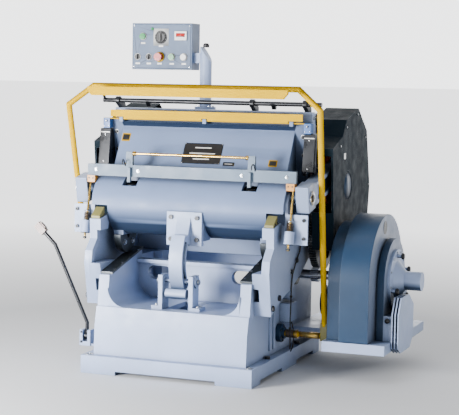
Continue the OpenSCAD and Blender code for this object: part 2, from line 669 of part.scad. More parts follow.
module flywheel() color([0.3, 0.33, 0.37]) difference() {
  cx([1030, 1132], drive_c, 2 * flywheel_r);
  for (x = [[1020, 1066], [1096, 1140]]) difference() {
    cx(x, drive_c, 2 * flywheel_r - 90);
    cx([1000, 1160], drive_c, 150);
  }
  cx([1000, 1160], drive_c, drive_d + 0.1);
  for (a = [0 : 60 : 300]) cx([1000, 1160], drive_c + 210 * [cos(a), sin(a)], 120);
}
module motor_pulley() color([0.55, 0.57, 0.6]) {
  cx([760, 1132], motor_c, 28);
  cx([1030, 1132], motor_c, 2 * pulley_r);
}
module chase_shaft() color([0.1, 0.1, 0.12]) {
  cx([-773, 773], [10, 1728], 30);
  for (x = [-444, 444]) px([x - 14, x + 14]) polygon([[-8, 1728], [28, 1728], [40, 1700], [24, 1690]]);
  rod([-760, 10, 1728], [-760, -40, 1790], 18);
}

base();
rocker_rails();
bed_frame();
cheek_left();
cheek_right();
cheek_pads();
guide_brackets();
die_chase();
shaft_brackets();
gear_cover_right();
gear_cover_left();
flywheel_guard();
drive_cover();
drive_plinth();
motor();
drive_belts();
control_post();
control_box();
guard_bearings();
guard_springs();
side_fittings();
cable_run();
frame_bolts();
bearings();
idler_axle();
platen();
cutting_plate();
rocker_sectors();
guide_arm();
arm_bolts();
platen_side_covers();
side_switches();
trunnion_caps();
buffer_brackets();
buffer_cylinders();
buffer_springs();
safety_strip();
trip_bar();
trip_rods();
trip_blocks();
draw_bar_left();
draw_bar_right();
main_shaft();
crank_gear();
crank_disc();
idler_gear();
drive_shaft();
flywheel();
motor_pulley();
guard_frame();
hand_lever();
lever_grip();
chase_shaft();
button_start();
button_inch();
button_light();
estop();
selector_a();
selector_b();
timer_knob();
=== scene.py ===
"""Looks of the creasing and die cutting platen press: materials, lights, camera and the fine pieces."""
import json
import math

import bmesh
import bpy
from mathutils import Matrix, Vector


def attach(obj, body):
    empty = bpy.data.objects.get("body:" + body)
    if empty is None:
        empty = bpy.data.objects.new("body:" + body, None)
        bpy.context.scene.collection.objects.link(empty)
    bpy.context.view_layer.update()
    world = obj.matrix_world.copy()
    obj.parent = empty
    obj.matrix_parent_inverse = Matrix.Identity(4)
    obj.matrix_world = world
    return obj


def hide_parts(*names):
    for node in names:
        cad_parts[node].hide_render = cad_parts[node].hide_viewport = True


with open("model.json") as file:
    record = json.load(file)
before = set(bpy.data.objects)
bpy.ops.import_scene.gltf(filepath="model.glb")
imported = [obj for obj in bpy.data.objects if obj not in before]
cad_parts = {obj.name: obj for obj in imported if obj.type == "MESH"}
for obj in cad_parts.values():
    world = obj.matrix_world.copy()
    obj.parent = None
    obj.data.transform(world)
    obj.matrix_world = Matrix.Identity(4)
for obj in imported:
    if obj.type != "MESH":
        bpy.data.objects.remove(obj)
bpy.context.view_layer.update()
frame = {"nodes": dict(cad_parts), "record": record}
NODES = frame["nodes"]

# places on the machine that several pieces are set out from, in metres
DRIVE = Vector((0, 0.2307, 0.6015))
MOTOR = Vector((0, 0.73, 0.35))
GUARD_HINGE = (-0.03, 0.24)
COVER_X = 0.85
ROD_X = 0.702
ROD_TOP = (-0.318, 1.215)
ROD_LEAN = math.radians(12.87)
PANEL_Y = 0.53

# camera, backdrop and floor
CAMERA_AT = Vector((3.5184, -8.8518, 1.9))
CAMERA_YAW, CAMERA_PITCH, CAMERA_ROLL = math.radians(20.8), math.radians(5.19), math.radians(1.0)
CAMERA_LENS = 113.1
CAMERA_SENSOR = 36
PALE = (0.985, 0.99, 1.0, 1)
WALL_TOWARDS = (-0.354, 0.931, 0.0)
WALL_FADE = (0.45, 0.97)
ROOM_LIGHT, WALL_LIGHT = 0.3, 3.4
FLOOR_HALF = 300
FLOOR_FADE = (2.5, 9.0)
FLOOR_GLOW = 1.8


# ---------------------------------------------------------------- camera, floor, light
def make_camera():
    yaw, pitch, roll = CAMERA_YAW, CAMERA_PITCH, CAMERA_ROLL
    back = Vector((math.sin(yaw) * math.cos(pitch), -math.cos(yaw) * math.cos(pitch), math.sin(pitch)))
    right = Vector((math.cos(yaw), math.sin(yaw), 0))
    up = (-back).cross(right) * -1
    x = math.cos(roll) * right + math.sin(roll) * up
    y = math.cos(roll) * up - math.sin(roll) * right
    data = bpy.data.cameras.new("camera")
    data.lens = CAMERA_LENS
    data.sensor_width = CAMERA_SENSOR
    cam = bpy.data.objects.new("camera", data)
    m = Matrix((x, y, back)).transposed().to_4x4()
    m.translation = CAMERA_AT
    cam.matrix_world = m
    bpy.context.scene.collection.objects.link(cam)
    bpy.context.scene.camera = cam


def make_light(name, place, target, size, power, tint=(1, 1, 1)):
    data = bpy.data.lights.new(name, "AREA")
    data.size = size
    data.energy = power
    data.color = tint
    lamp = bpy.data.objects.new(name, data)
    lamp.location = place
    lamp.rotation_euler = (Vector(target) - Vector(place)).to_track_quat("-Z", "Y").to_euler()
    bpy.context.scene.collection.objects.link(lamp)


def make_world():
    world = bpy.data.worlds.new("studio")
    bpy.context.scene.world = world
    world.use_nodes = True
    tree = world.node_tree
    sky = tree.nodes["Background"]
    sky.inputs[0].default_value = PALE
    # a bright wall behind the machine in an even, dimmer room
    wall = add(tree, "ShaderNodeVectorMath", operation="DOT_PRODUCT")
    tree.links.new(add(tree, "ShaderNodeTexCoord").outputs["Generated"], wall.inputs[0])
    wall.inputs[1].default_value = WALL_TOWARDS
    tree.links.new(ramp(tree, wall.outputs["Value"], *WALL_FADE, ROOM_LIGHT, WALL_LIGHT), sky.inputs[1])


def make_floor():
    mesh = bpy.data.meshes.new("floor")
    bm = bmesh.new()
    bmesh.ops.create_grid(bm, x_segments=4, y_segments=4, size=FLOOR_HALF)
    bm.to_mesh(mesh)
    bm.free()
    floor = bpy.data.objects.new("floor", mesh)
    floor.location = (0, 0, -0.001)
    bpy.context.scene.collection.objects.link(floor)
    mat = bpy.data.materials.new("floor")
    mat.use_nodes = True
    b = mat.node_tree.nodes["Principled BSDF"]
    b.inputs["Base Color"].default_value = (0.9, 0.91, 0.93, 1)
    b.inputs["Roughness"].default_value = 0.9
    # the far floor fades into the bright wall
    tree = mat.node_tree
    far = add(tree, "ShaderNodeVectorMath", operation="LENGTH")
    tree.links.new(add(tree, "ShaderNodeTexCoord").outputs["Object"], far.inputs[0])
    b.inputs["Emission Color"].default_value = PALE
    tree.links.new(ramp(tree, far.outputs["Value"], *FLOOR_FADE, 0.0, FLOOR_GLOW),
                   b.inputs["Emission Strength"])
    mesh.materials.append(mat)


# ---------------------------------------------------------------- materials
def add(tree, kind, **values):
    n = tree.nodes.new(kind)
    for k, v in values.items():
        setattr(n, k, v)
    return n


def noise(tree, coords, scale, detail=3.0, stretch=None):
    link = tree.links.new
    tex = add(tree, "ShaderNodeTexNoise")
    tex.inputs["Scale"].default_value = scale
    tex.inputs["Detail"].default_value = detail
    if stretch:
        mapping = add(tree, "ShaderNodeMapping")
        mapping.inputs["Scale"].default_value = stretch
        link(coords, mapping.inputs["Vector"])
        coords = mapping.outputs["Vector"]
    link(coords, tex.inputs["Vector"])
    return tex.outputs["Fac"]


def ramp(tree, value, lo, hi, a, b):
    m = add(tree, "ShaderNodeMapRange", clamp=True)
    tree.links.new(value, m.inputs["Value"])
    for k, v in zip(("From Min", "From Max", "To Min", "To Max"), (lo, hi, a, b)):
        m.inputs[k].default_value = v
    return m.outputs["Result"]


def mix(tree, factor, a, b):
    m = add(tree, "ShaderNodeMix", data_type="RGBA")
    link = tree.links.new
    link(factor, m.inputs["Factor"])
    for key, v in (("A", a), ("B", b)):
        socket = [s for s in m.inputs if s.name == key and s.type == "RGBA"][0]
        if isinstance(v, tuple):
            socket.default_value = (*v, 1)
        else:
            link(v, socket)
    return [s for s in m.outputs if s.type == "RGBA"][0]


def edge_mask(tree, radius):
    """1 where a corner is sharp within the radius, 0 on flat faces."""
    bev = add(tree, "ShaderNodeBevel", samples=4)
    bev.inputs["Radius"].default_value = radius
    geo = add(tree, "ShaderNodeNewGeometry")
    dot = add(tree, "ShaderNodeVectorMath", operation="DOT_PRODUCT")
    tree.links.new(bev.outputs["Normal"], dot.inputs[0])
    tree.links.new(geo.outputs["Normal"], dot.inputs[1])
    return ramp(tree, dot.outputs["Value"], 0.995, 0.9, 0.0, 1.0)


# colour factors of the painted shade in corners, recesses and under faces turned down
SHADE_TINT = (0.06, 0.08, 0.1)
CORNER_REACH = 0.22
EDGE_WEAR = 0.004
MOTTLE = 2.5
ROUGH_VARY = 0.1


def surface(name, colour, rough=0.45, metal=0.0, vary=0.06,
            bump=0.12, bump_scale=160.0, brush=None, wear=None, wear_amount=0.5, painted_shade=0.6, coat=0.0,
            shine=0.5, side=None, top=None):
    mat = bpy.data.materials.new(name)
    mat.use_nodes = True
    tree = mat.node_tree
    link = tree.links.new
    bsdf = tree.nodes["Principled BSDF"]
    place_of = add(tree, "ShaderNodeTexCoord")
    coords = place_of.outputs["Object"]
    turned = add(tree, "ShaderNodeSeparateXYZ")
    link(place_of.outputs["Normal"], turned.inputs[0])
    # broad mottling, then fine specks
    dark = tuple(c * (1 - 1.6 * vary) for c in colour)
    light = tuple(min(1.0, c * (1 + vary)) for c in colour)
    broad = noise(tree, coords, MOTTLE, 4.0)
    col = mix(tree, ramp(tree, broad, 0.3, 0.7, 0, 1), dark, light)
    speck = noise(tree, coords, MOTTLE * 24, 5.0)
    col = mix(tree, ramp(tree, speck, 0.62, 0.75, 0, 0.35), col, tuple(c * 0.72 for c in colour))
    # painted reflection: faces turned to +X take the lighter side colour, a sheen of grazing light on the
    # paint
    if side:
        col = mix(tree, ramp(tree, turned.outputs["X"], 0.7, 0.95, 0, 1), col, side)
    # painted shade: faces turned up take the darker top colour
    if top:
        col = mix(tree, ramp(tree, turned.outputs["Z"], 0.1, 0.8, 0, 1), col, top)
    # painted shade: colour darkened in corners and recesses, where shade falls (ambient occlusion)
    if painted_shade:
        shade = tuple(c * t for c, t in zip(colour, SHADE_TINT))
        ao = add(tree, "ShaderNodeAmbientOcclusion", samples=8)
        ao.inputs["Distance"].default_value = CORNER_REACH
        col = mix(tree, ramp(tree, ao.outputs["AO"], 0.7, 0.1, 0.0, painted_shade), col, shade)
        # painted shade: faces turned down are darkened and their specular lowered
        underside_shade = ramp(tree, turned.outputs["Z"], 0.0, -0.6, 0.0, 1.0)
        link(ramp(tree, underside_shade, 0, 1, shine, shine * (1 - painted_shade)), bsdf.inputs["Specular IOR Level"])
        col = mix(tree, ramp(tree, underside_shade, 0, 1, 0, painted_shade), col, shade)
    if wear:
        edge = edge_mask(tree, EDGE_WEAR)
        patch = noise(tree, coords, 9.0, 6.0)
        both = add(tree, "ShaderNodeMath", operation="MULTIPLY")
        link(edge, both.inputs[0])
        link(ramp(tree, patch, 0.42, 0.62, 0, wear_amount), both.inputs[1])
        col = mix(tree, both.outputs[0], col, wear)
    link(col, bsdf.inputs["Base Color"])
    fine = noise(tree, coords, bump_scale, 3.0, brush)
    link(ramp(tree, noise(tree, coords, 14.0, 5.0, brush), 0.3, 0.7, rough - ROUGH_VARY, rough + ROUGH_VARY),
         bsdf.inputs["Roughness"])
    bsdf.inputs["Metallic"].default_value = metal
    if coat:
        bsdf.inputs["Coat Weight"].default_value = coat
        bsdf.inputs["Coat Roughness"].default_value = 0.18
    bmp = add(tree, "ShaderNodeBump")
    bmp.inputs["Strength"].default_value = bump
    bmp.inputs["Distance"].default_value = 0.002
    link(fine, bmp.inputs["Height"])
    link(bmp.outputs["Normal"], bsdf.inputs["Normal"])
    return mat


BRUSH_X = (0.05, 1.0, 1.0)
PRIMER = (0.16, 0.18, 0.2)
BARE = (0.55, 0.55, 0.56)
MATERIALS = {
    "body_paint": lambda: surface("body_paint", (0.4, 0.5, 0.74), 0.38, vary=0.06, bump=0.16, wear=PRIMER,
                                  wear_amount=0.35, painted_shade=0.95, shine=0.35),
    # platen_paint: body_paint made darker, as painted shade over the platen
    "platen_paint": lambda: surface("platen_paint", (0.19, 0.26, 0.43), 0.4, vary=0.06, bump=0.16,
                                    wear=PRIMER, wear_amount=0.35, painted_shade=0.95, shine=0.2),
    "panel_paint": lambda: surface("panel_paint", (0.15, 0.2, 0.3), 0.4, vary=0.05, bump=0.16, wear=PRIMER,
                                   wear_amount=0.35, painted_shade=0.6, shine=0.2),
    "bar_paint": lambda: surface("bar_paint", (0.14, 0.2, 0.28), 0.4, vary=0.1, bump=0.2,
                                 wear=(0.4, 0.45, 0.52), wear_amount=0.7, painted_shade=0.5, shine=0.25),
    "cover_paint": lambda: surface("cover_paint", (0.006, 0.015, 0.024), 0.55, vary=0.12, bump=0.3,
                                   bump_scale=320, wear=(0.2, 0.24, 0.3), wear_amount=0.5, shine=0.05),
    "guard_paint": lambda: surface("guard_paint", (0.02, 0.05, 0.105), 0.4, vary=0.12, bump=0.2,
                                   bump_scale=260, wear=(0.25, 0.3, 0.4), wear_amount=0.5, shine=0.25),
    # arch_paint: guard_paint with a painted reflection, lighter on faces turned to +X
    "arch_paint": lambda: surface("arch_paint", (0.02, 0.05, 0.105), 0.4, vary=0.12, bump=0.2, bump_scale=260,
                                  wear=(0.25, 0.3, 0.4), wear_amount=0.5, shine=0.25, side=(0.2, 0.25, 0.36)),
    # yellow paint, made darker on faces turned up as painted shade
    "yellow_paint": lambda: surface("yellow_paint", (0.7, 0.42, 0.0), 0.4, vary=0.05, bump=0.1,
                                    wear=(0.3, 0.25, 0.12), wear_amount=0.4, painted_shade=0.2, shine=0.0,
                                    top=(0.3, 0.17, 0.0)),
    "orange_paint": lambda: surface("orange_paint", (0.72, 0.3, 0.03), 0.4, wear=PRIMER),
    "red_paint": lambda: surface("red_paint", (0.62, 0.05, 0.04), 0.4, wear=BARE, wear_amount=0.8, painted_shade=0.15),
    "olive_paint": lambda: surface("olive_paint", (0.22, 0.2, 0.06), 0.5, vary=0.12, wear=PRIMER),
    "dark_iron": lambda: surface("dark_iron", (0.045, 0.055, 0.065), 0.42, 0.5, vary=0.2, bump=0.35,
                                 bump_scale=120, wear=BARE, wear_amount=0.7),
    "bright_steel": lambda: surface("bright_steel", (0.6, 0.62, 0.65), 0.26, 1.0, vary=0.05, bump=0.12,
                                    bump_scale=500, brush=BRUSH_X, painted_shade=0.25),
    "black_steel": lambda: surface("black_steel", (0.015, 0.017, 0.022), 0.33, 0.3, vary=0.1, bump=0.15,
                                   wear=(0.25, 0.26, 0.28), wear_amount=0.6),
    "brass": lambda: surface("brass", (0.78, 0.5, 0.13), 0.24, 1.0, vary=0.08, bump=0.08, bump_scale=400,
                             brush=BRUSH_X, painted_shade=0.3),
    "rubber": lambda: surface("rubber", (0.014, 0.014, 0.016), 0.62, vary=0.1, bump=0.25, bump_scale=420),
    "black_plastic": lambda: surface("black_plastic", (0.012, 0.012, 0.014), 0.4, bump=0.2, bump_scale=700),
    "blue_plastic": lambda: surface("blue_plastic", (0.02, 0.11, 0.36), 0.38, bump=0.18, bump_scale=600),
    "grip_plastic": lambda: surface("grip_plastic", (0.62, 0.5, 0.47), 0.5, vary=0.08, bump=0.2,
                                    bump_scale=500),
    "green_plastic": lambda: surface("green_plastic", (0.01, 0.28, 0.07), 0.22, bump=0.04, coat=0.5),
    "red_plastic": lambda: surface("red_plastic", (0.55, 0.015, 0.012), 0.24, bump=0.04, coat=0.5),
    "white_plastic": lambda: surface("white_plastic", (0.8, 0.8, 0.78), 0.26, bump=0.04, coat=0.5),
    "spring_steel": lambda: surface("spring_steel", (0.16, 0.12, 0.09), 0.35, 0.8, vary=0.2, bump=0.1),
}
_made = {}


def material(slot):
    if slot not in _made:
        _made[slot] = MATERIALS[slot]()
    return _made[slot]


def finish_cad(width):
    """CAD nodes keep their meshes: joined corners, a small rounding and even shading come as modifiers."""
    slots = {s["node"]: s["material_slot"] for s in frame["record"]["subparts"]}
    for name, o in NODES.items():
        if not o.material_slots:
            continue
        for s in o.material_slots:
            s.link = "OBJECT"
            s.material = material(LOOK.get(name, slots[name]))
        if name in NO_ROUNDING:
            continue
        weld = o.modifiers.new("weld", "WELD")
        weld.merge_threshold = 0.00002
        bev = o.modifiers.new("round", "BEVEL")
        bev.width = width.get(name, 0.003)
        bev.segments = 2
        bev.limit_method = "ANGLE"
        bev.angle_limit = math.radians(32)
        bev.harden_normals = False
        wn = o.modifiers.new("shade", "WEIGHTED_NORMAL")
        wn.keep_sharp = False
        wn.weight = 90


# the platen takes a darker copy of body_paint, as painted shade
LOOK = {"platen": "platen_paint", "control_box": "panel_paint", "flywheel_guard": "arch_paint"}
NO_ROUNDING = {"crank_gear", "idler_gear", "cable_run", "guard_springs", "buffer_springs", "drive_belts"}
ROUNDING = {"base": 0.006, "bed_frame": 0.006, "platen": 0.004, "cheek_left": 0.007, "cheek_right": 0.007,
            "gear_cover_right": 0.0035, "gear_cover_left": 0.0035, "flywheel_guard": 0.0035,
            "guide_arm": 0.006, "button_start": 0.002, "button_inch": 0.002, "button_light": 0.002,
            "estop": 0.006, "selector_a": 0.0015, "selector_b": 0.0015, "timer_knob": 0.002,
            "lever_grip": 0.006, "control_box": 0.0025, "trip_bar": 0.0025, "safety_strip": 0.0012,
            "frame_bolts": 0.0015, "arm_bolts": 0.0015, "buffer_brackets": 0.003}


# ---------------------------------------------------------------- piece builders
HEAD_HEIGHT = 0.45
STEPS_A_TURN = 20
PATH_STEPS = 8


def place(name, bm, slot, body, bevel=0.0):
    bmesh.ops.recalc_face_normals(bm, faces=bm.faces)
    mesh = bpy.data.meshes.new(name)
    for f in bm.faces:
        f.smooth = True
    bm.to_mesh(mesh)
    bm.free()
    o = bpy.data.objects.new(name, mesh)
    bpy.context.scene.collection.objects.link(o)
    mesh.materials.append(material(slot))
    if bevel:
        b = o.modifiers.new("round", "BEVEL")
        b.width = bevel
        b.segments = 3
        b.limit_method = "ANGLE"
        b.angle_limit = math.radians(30)
        w = o.modifiers.new("shade", "WEIGHTED_NORMAL")
        w.weight = 80
    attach(o, body)
    return o


def basis(at, axis):
    """A frame whose local Z is the axis, at a point."""
    z = Vector(axis).normalized()
    m = z.to_track_quat("Z", "Y").to_matrix().to_4x4()
    m.translation = Vector(at)
    return m


def lathe(name, profile, at, axis, slot, body, sides=40, bevel=0.0):
    """Turns a profile of (radius, distance along the axis), closed at both ends on the axis."""
    m = basis(at, axis)
    bm = bmesh.new()
    rings = []
    for r, s in profile:
        if r <= 1e-6:
            rings.append([bm.verts.new(m @ Vector((0, 0, s)))])
        else:
            rings.append([bm.verts.new(m @ Vector((r * math.cos(a), r * math.sin(a), s)))
                          for a in (2 * math.pi * k / sides for k in range(sides))])
    for a, b in zip(rings, rings[1:]):
        for k in range(sides):
            loop = [a[k % len(a)], a[(k + 1) % len(a)], b[(k + 1) % len(b)], b[k % len(b)]]
            seen = []
            for v in loop:
                if v not in seen:
                    seen.append(v)
            if len(seen) > 2:
                bm.faces.new(seen)
    return place(name, bm, slot, body, bevel=bevel)


def block(name, lo, hi, slot, body, bevel=0.002, turn=None, at=(0, 0, 0)):
    """A rounded block between two corners, then turned by a matrix and moved."""
    bm = bmesh.new()
    bmesh.ops.create_cube(bm, size=1)
    lo, hi = Vector(lo), Vector(hi)
    for v in bm.verts:
        v.co = Vector([(lo[i] + hi[i]) / 2 + v.co[i] * (hi[i] - lo[i]) for i in range(3)])
    if turn is not None:
        bmesh.ops.transform(bm, matrix=turn, verts=bm.verts)
    bmesh.ops.translate(bm, verts=bm.verts, vec=Vector(at))
    return place(name, bm, slot, body, bevel=bevel)


def tube(name, points, radius, slot, body, sides=12):
    """A round wire through points, as a mesh."""
    pts = [Vector(p) for p in points]
    bm = bmesh.new()
    rings = []
    up = Vector((0.13, 0.21, 0.97))
    for i, p in enumerate(pts):
        t = (pts[min(i + 1, len(pts) - 1)] - pts[max(i - 1, 0)]).normalized()
        side = t.cross(up)
        side = side.normalized() if side.length > 0.05 else t.orthogonal().normalized()
        up = side.cross(t).normalized()
        rings.append([bm.verts.new(p + radius * (math.cos(a) * side + math.sin(a) * up))
                      for a in (2 * math.pi * k / sides for k in range(sides))])
    for a, b in zip(rings, rings[1:]):
        for k in range(sides):
            bm.faces.new((a[k], a[(k + 1) % sides], b[(k + 1) % sides], b[k]))
    bm.faces.new(rings[0])
    bm.faces.new(rings[-1])
    return place(name, bm, slot, body)


def smooth_path(points):
    """Catmull-Rom points through a given route."""
    p = [Vector(q) for q in points]
    p = [2 * p[0] - p[1], *p, 2 * p[-1] - p[-2]]
    out = []
    for i in range(1, len(p) - 2):
        for k in range(PATH_STEPS):
            t = k / PATH_STEPS
            out.append(0.5 * ((2 * p[i]) + (p[i + 1] - p[i - 1]) * t
                              + (2 * p[i - 1] - 5 * p[i] + 4 * p[i + 1] - p[i + 2]) * t * t
                              + (3 * p[i] - p[i - 1] - 3 * p[i + 1] + p[i + 2]) * t ** 3))
    out.append(p[-2])
    return out


def coil(name, at, axis, radius, wire, turns, length, slot, body):
    """A helical spring of round wire; wire is its diameter."""
    m = basis(at, axis)
    n = int(turns * STEPS_A_TURN)
    pts = [m @ Vector((radius * math.cos(2 * math.pi * turns * i / n),
                       radius * math.sin(2 * math.pi * turns * i / n), length * i / n)) for i in range(n + 1)]
    return tube(name, pts, wire / 2, slot, body, 8)


def hexbolt(name, at, axis, width, slot, body):
    """A six-sided head on a round washer."""
    h = width * HEAD_HEIGHT
    w = width / 2
    lathe(name + "_washer", [(0, 0), (w * 1.25, 0), (w * 1.25, h * 0.2), (0, h * 0.2)], at, axis,
          "bright_steel", body, 24, 0.0006)
    return lathe(name, [(0, h * 0.18), (w, h * 0.18), (w, h * 0.9), (w * 0.8, h), (0, h)], at, axis, slot,
                 body, 6, 0.0008)


def socket_bolt(name, at, axis, width, slot, body):
    """A round head with a socket sunk in it."""
    w = width / 2
    return lathe(name, [(0, 0), (w, 0), (w, w * 0.9), (w * 0.88, w), (w * 0.5, w), (w * 0.5, w * 0.45),
                        (0, w * 0.45)],
                 at, axis, slot, body, 20, 0.0005)


def sheet_plate(name, half_w, half_h, thick, m, slot, body, corner=0.006):
    """A rounded flat plate in the XY plane of a frame, facing its +Z."""
    bm = bmesh.new()
    pts = []
    for cx, cy, a0 in ((half_w - corner, half_h - corner, 0), (corner - half_w, half_h - corner, 90),
                       (corner - half_w, corner - half_h, 180), (half_w - corner, corner - half_h, 270)):
        for k in range(5):
            a = math.radians(a0 + 22.5 * k)
            pts.append((cx + corner * math.cos(a), cy + corner * math.sin(a)))
    low = [bm.verts.new(m @ Vector((x, y, 0))) for x, y in pts]
    high = [bm.verts.new(m @ Vector((x, y, thick))) for x, y in pts]
    n = len(pts)
    for k in range(n):
        bm.faces.new((low[k], low[(k + 1) % n], high[(k + 1) % n], high[k]))
    bm.faces.new(low)
    bm.faces.new(high)
    return place(name, bm, slot, body, bevel=thick * 0.3)


def facing(at, normal, up=(0, 0, 1)):
    """A frame at a point whose Z is the normal and whose Y is as near up as it can be."""
    z = Vector(normal).normalized()
    x = Vector(up).cross(z).normalized()
    y = z.cross(x)
    m = Matrix((x, y, z)).transposed().to_4x4()
    m.translation = Vector(at)
    return m


# ---------------------------------------------------------------- groups of pieces
SLOPE = math.radians(29.66)
SLOPE_N = Vector((0, -math.cos(SLOPE), math.sin(SLOPE)))
SLOPE_UP = Vector((0, math.sin(SLOPE), math.cos(SLOPE)))
SLOPE_TOP = Vector((0, -0.022, 1.555))


def on_slope(x, z):
    """A point on the platen's sloping front at that height."""
    return Vector((x, 0, 0)) + SLOPE_TOP + SLOPE_UP * ((z - SLOPE_TOP.z) / SLOPE_UP.z)


def name_plate(name, x0, x1, z0, z1, slot, rows):
    """A blank plate with a raised border, generic bars and four rivets."""
    mid = on_slope((x0 + x1) / 2, (z0 + z1) / 2)
    m = facing(mid, SLOPE_N, SLOPE_UP)
    hw, hh = (x1 - x0) / 2, (z1 - z0) / 2 / SLOPE_UP.z
    sheet_plate(name, hw, hh, 0.002, m, slot, "platen")
    sheet_plate(name + "_field", hw * 0.96, hh * 0.92, 0.0026, m, "black_plastic", "platen", 0.004)
    for i in range(rows):
        y = hh * (0.55 - 1.1 * i / max(1, rows - 1))
        w = hw * (0.66 if i % 2 else 0.42)
        sheet_plate(f"{name}_bar_{i}", w, hh * 0.05, 0.0034, m @ Matrix.Translation((0, y, 0)),
                    "white_plastic", "platen", 0.001)
    for k, (sx, sy) in enumerate(((1, 1), (-1, 1), (-1, -1), (1, -1))):
        c = m @ Vector((sx * hw * 0.955, sy * hh * 0.93, 0.002))
        lathe(f"{name}_rivet_{k}", [(0, 0), (0.0035, 0), (0.0028, 0.0012), (0, 0.0018)], c, SLOPE_N,
              "bright_steel", "platen", 12)


def platen_pieces():
    name_plate("name_plate", -0.134, 0.138, 1.33, 1.46, "black_steel", 3)
    m = facing(on_slope(0.2, 1.335), SLOPE_N, SLOPE_UP)
    sheet_plate("small_plate", 0.04, 0.014, 0.0016, m, "black_steel", "platen", 0.003)
    sheet_plate("small_plate_bar", 0.026, 0.002, 0.0022, m, "white_plastic", "platen", 0.0008)
    labels = ((-0.568, 1.484, 0.03, 0.03), (-0.50, 1.30, 0.035, 0.02), (0.50, 1.35, 0.03, 0.024))
    for i, (x, z, w, h) in enumerate(labels):
        m = facing(on_slope(x, z), SLOPE_N, SLOPE_UP)
        sheet_plate(f"label_{i}", w, h, 0.0012, m, "yellow_paint", "platen", 0.003)
        sheet_plate(f"label_{i}_field", w * 0.8, h * 0.7, 0.0018, m, "black_plastic", "platen", 0.002)
    for s in (-1, 1):
        for i, z in enumerate((1.28, 1.4, 1.52)):
            hexbolt(f"plate_bolt_{s + 1}_{i}", (s * 0.66, -0.035 + 0.21 * (1.6 - z), z), (0, -1, -0.21),
                    0.024, "black_steel", "platen")
        # the black side boxes: lid, screws and the pale line near their tops
        x = s * 0.7575
        block(f"side_lid_{s + 1}", (-0.0005, -0.035, -0.11), (0.0, 0.035, 0.11), "black_steel", "platen", 0.0,
              at=(x, -0.03, 1.4))
        for i, z in enumerate((1.32, 1.5)):
            socket_bolt(f"side_screw_{s + 1}_{i}", (s * 0.72, -0.099 + 0.1375 * (z - 1.3) + 0.001, z),
                        (0, -1, 0.14), 0.01, "bright_steel", "platen")
        block(f"side_line_{s + 1}", (-0.034, -0.0015, -0.003), (0.034, 0.0, 0.003), "white_plastic", "platen",
              0.0005, at=(s * 0.72, -0.0705, 1.515))
        # switch: plunger and screws on the blue box
        lathe(f"switch_plunger_{s + 1}", [(0, 0), (0.008, 0), (0.008, 0.006), (0.006, 0.0095), (0, 0.011)],
              (s * 0.707, -0.0795, 1.59), (0, -1, 0), "bright_steel", "platen", 16)
        for i, dx in enumerate((-0.018, 0.018)):
            socket_bolt(f"switch_screw_{s + 1}_{i}", (s * 0.707 + dx, -0.0795, 1.555), (0, -1, 0), 0.006,
                        "bright_steel", "platen")
        # bolts of the buffer brackets
        for i, z in enumerate((1.015, 0.9)):
            socket_bolt(f"buffer_bolt_{s + 1}_{i}", (s * 0.785, -0.345, z), (0, -1, 0), 0.022, "black_steel",
                        "platen")
        # bolts on both faces of the rocker sectors
        for i, dy in enumerate((-0.062, 0.062)):
            hexbolt(f"sector_bolt_{s + 1}_{i}", (s * 0.485, -0.19 + dy, 0.8), (-s, 0, 0), 0.03,
                    "bright_steel", "platen")
            hexbolt(f"sector_outer_bolt_{s + 1}_{i}", (s * 0.535, -0.19 + dy, 0.8), (s, 0, 0), 0.026,
                    "bright_steel", "platen")
        lathe(f"trunnion_nut_{s + 1}", [(0, 0), (0.026, 0), (0.026, 0.003), (0, 0.003)],
              (s * 0.817, -0.27, 1.15), (s, 0, 0), "black_steel", "platen", 6, 0.0005)
        # cups in the drum's pockets
        lathe(f"pocket_cup_{s + 1}",
              [(0, 0), (0.027, 0), (0.03, 0.024), (0.023, 0.024), (0.02, 0.012), (0, 0.012)],
              (s * 0.414, -0.304, 1.1664), (0, 0, 1), "black_steel", "platen", 28)


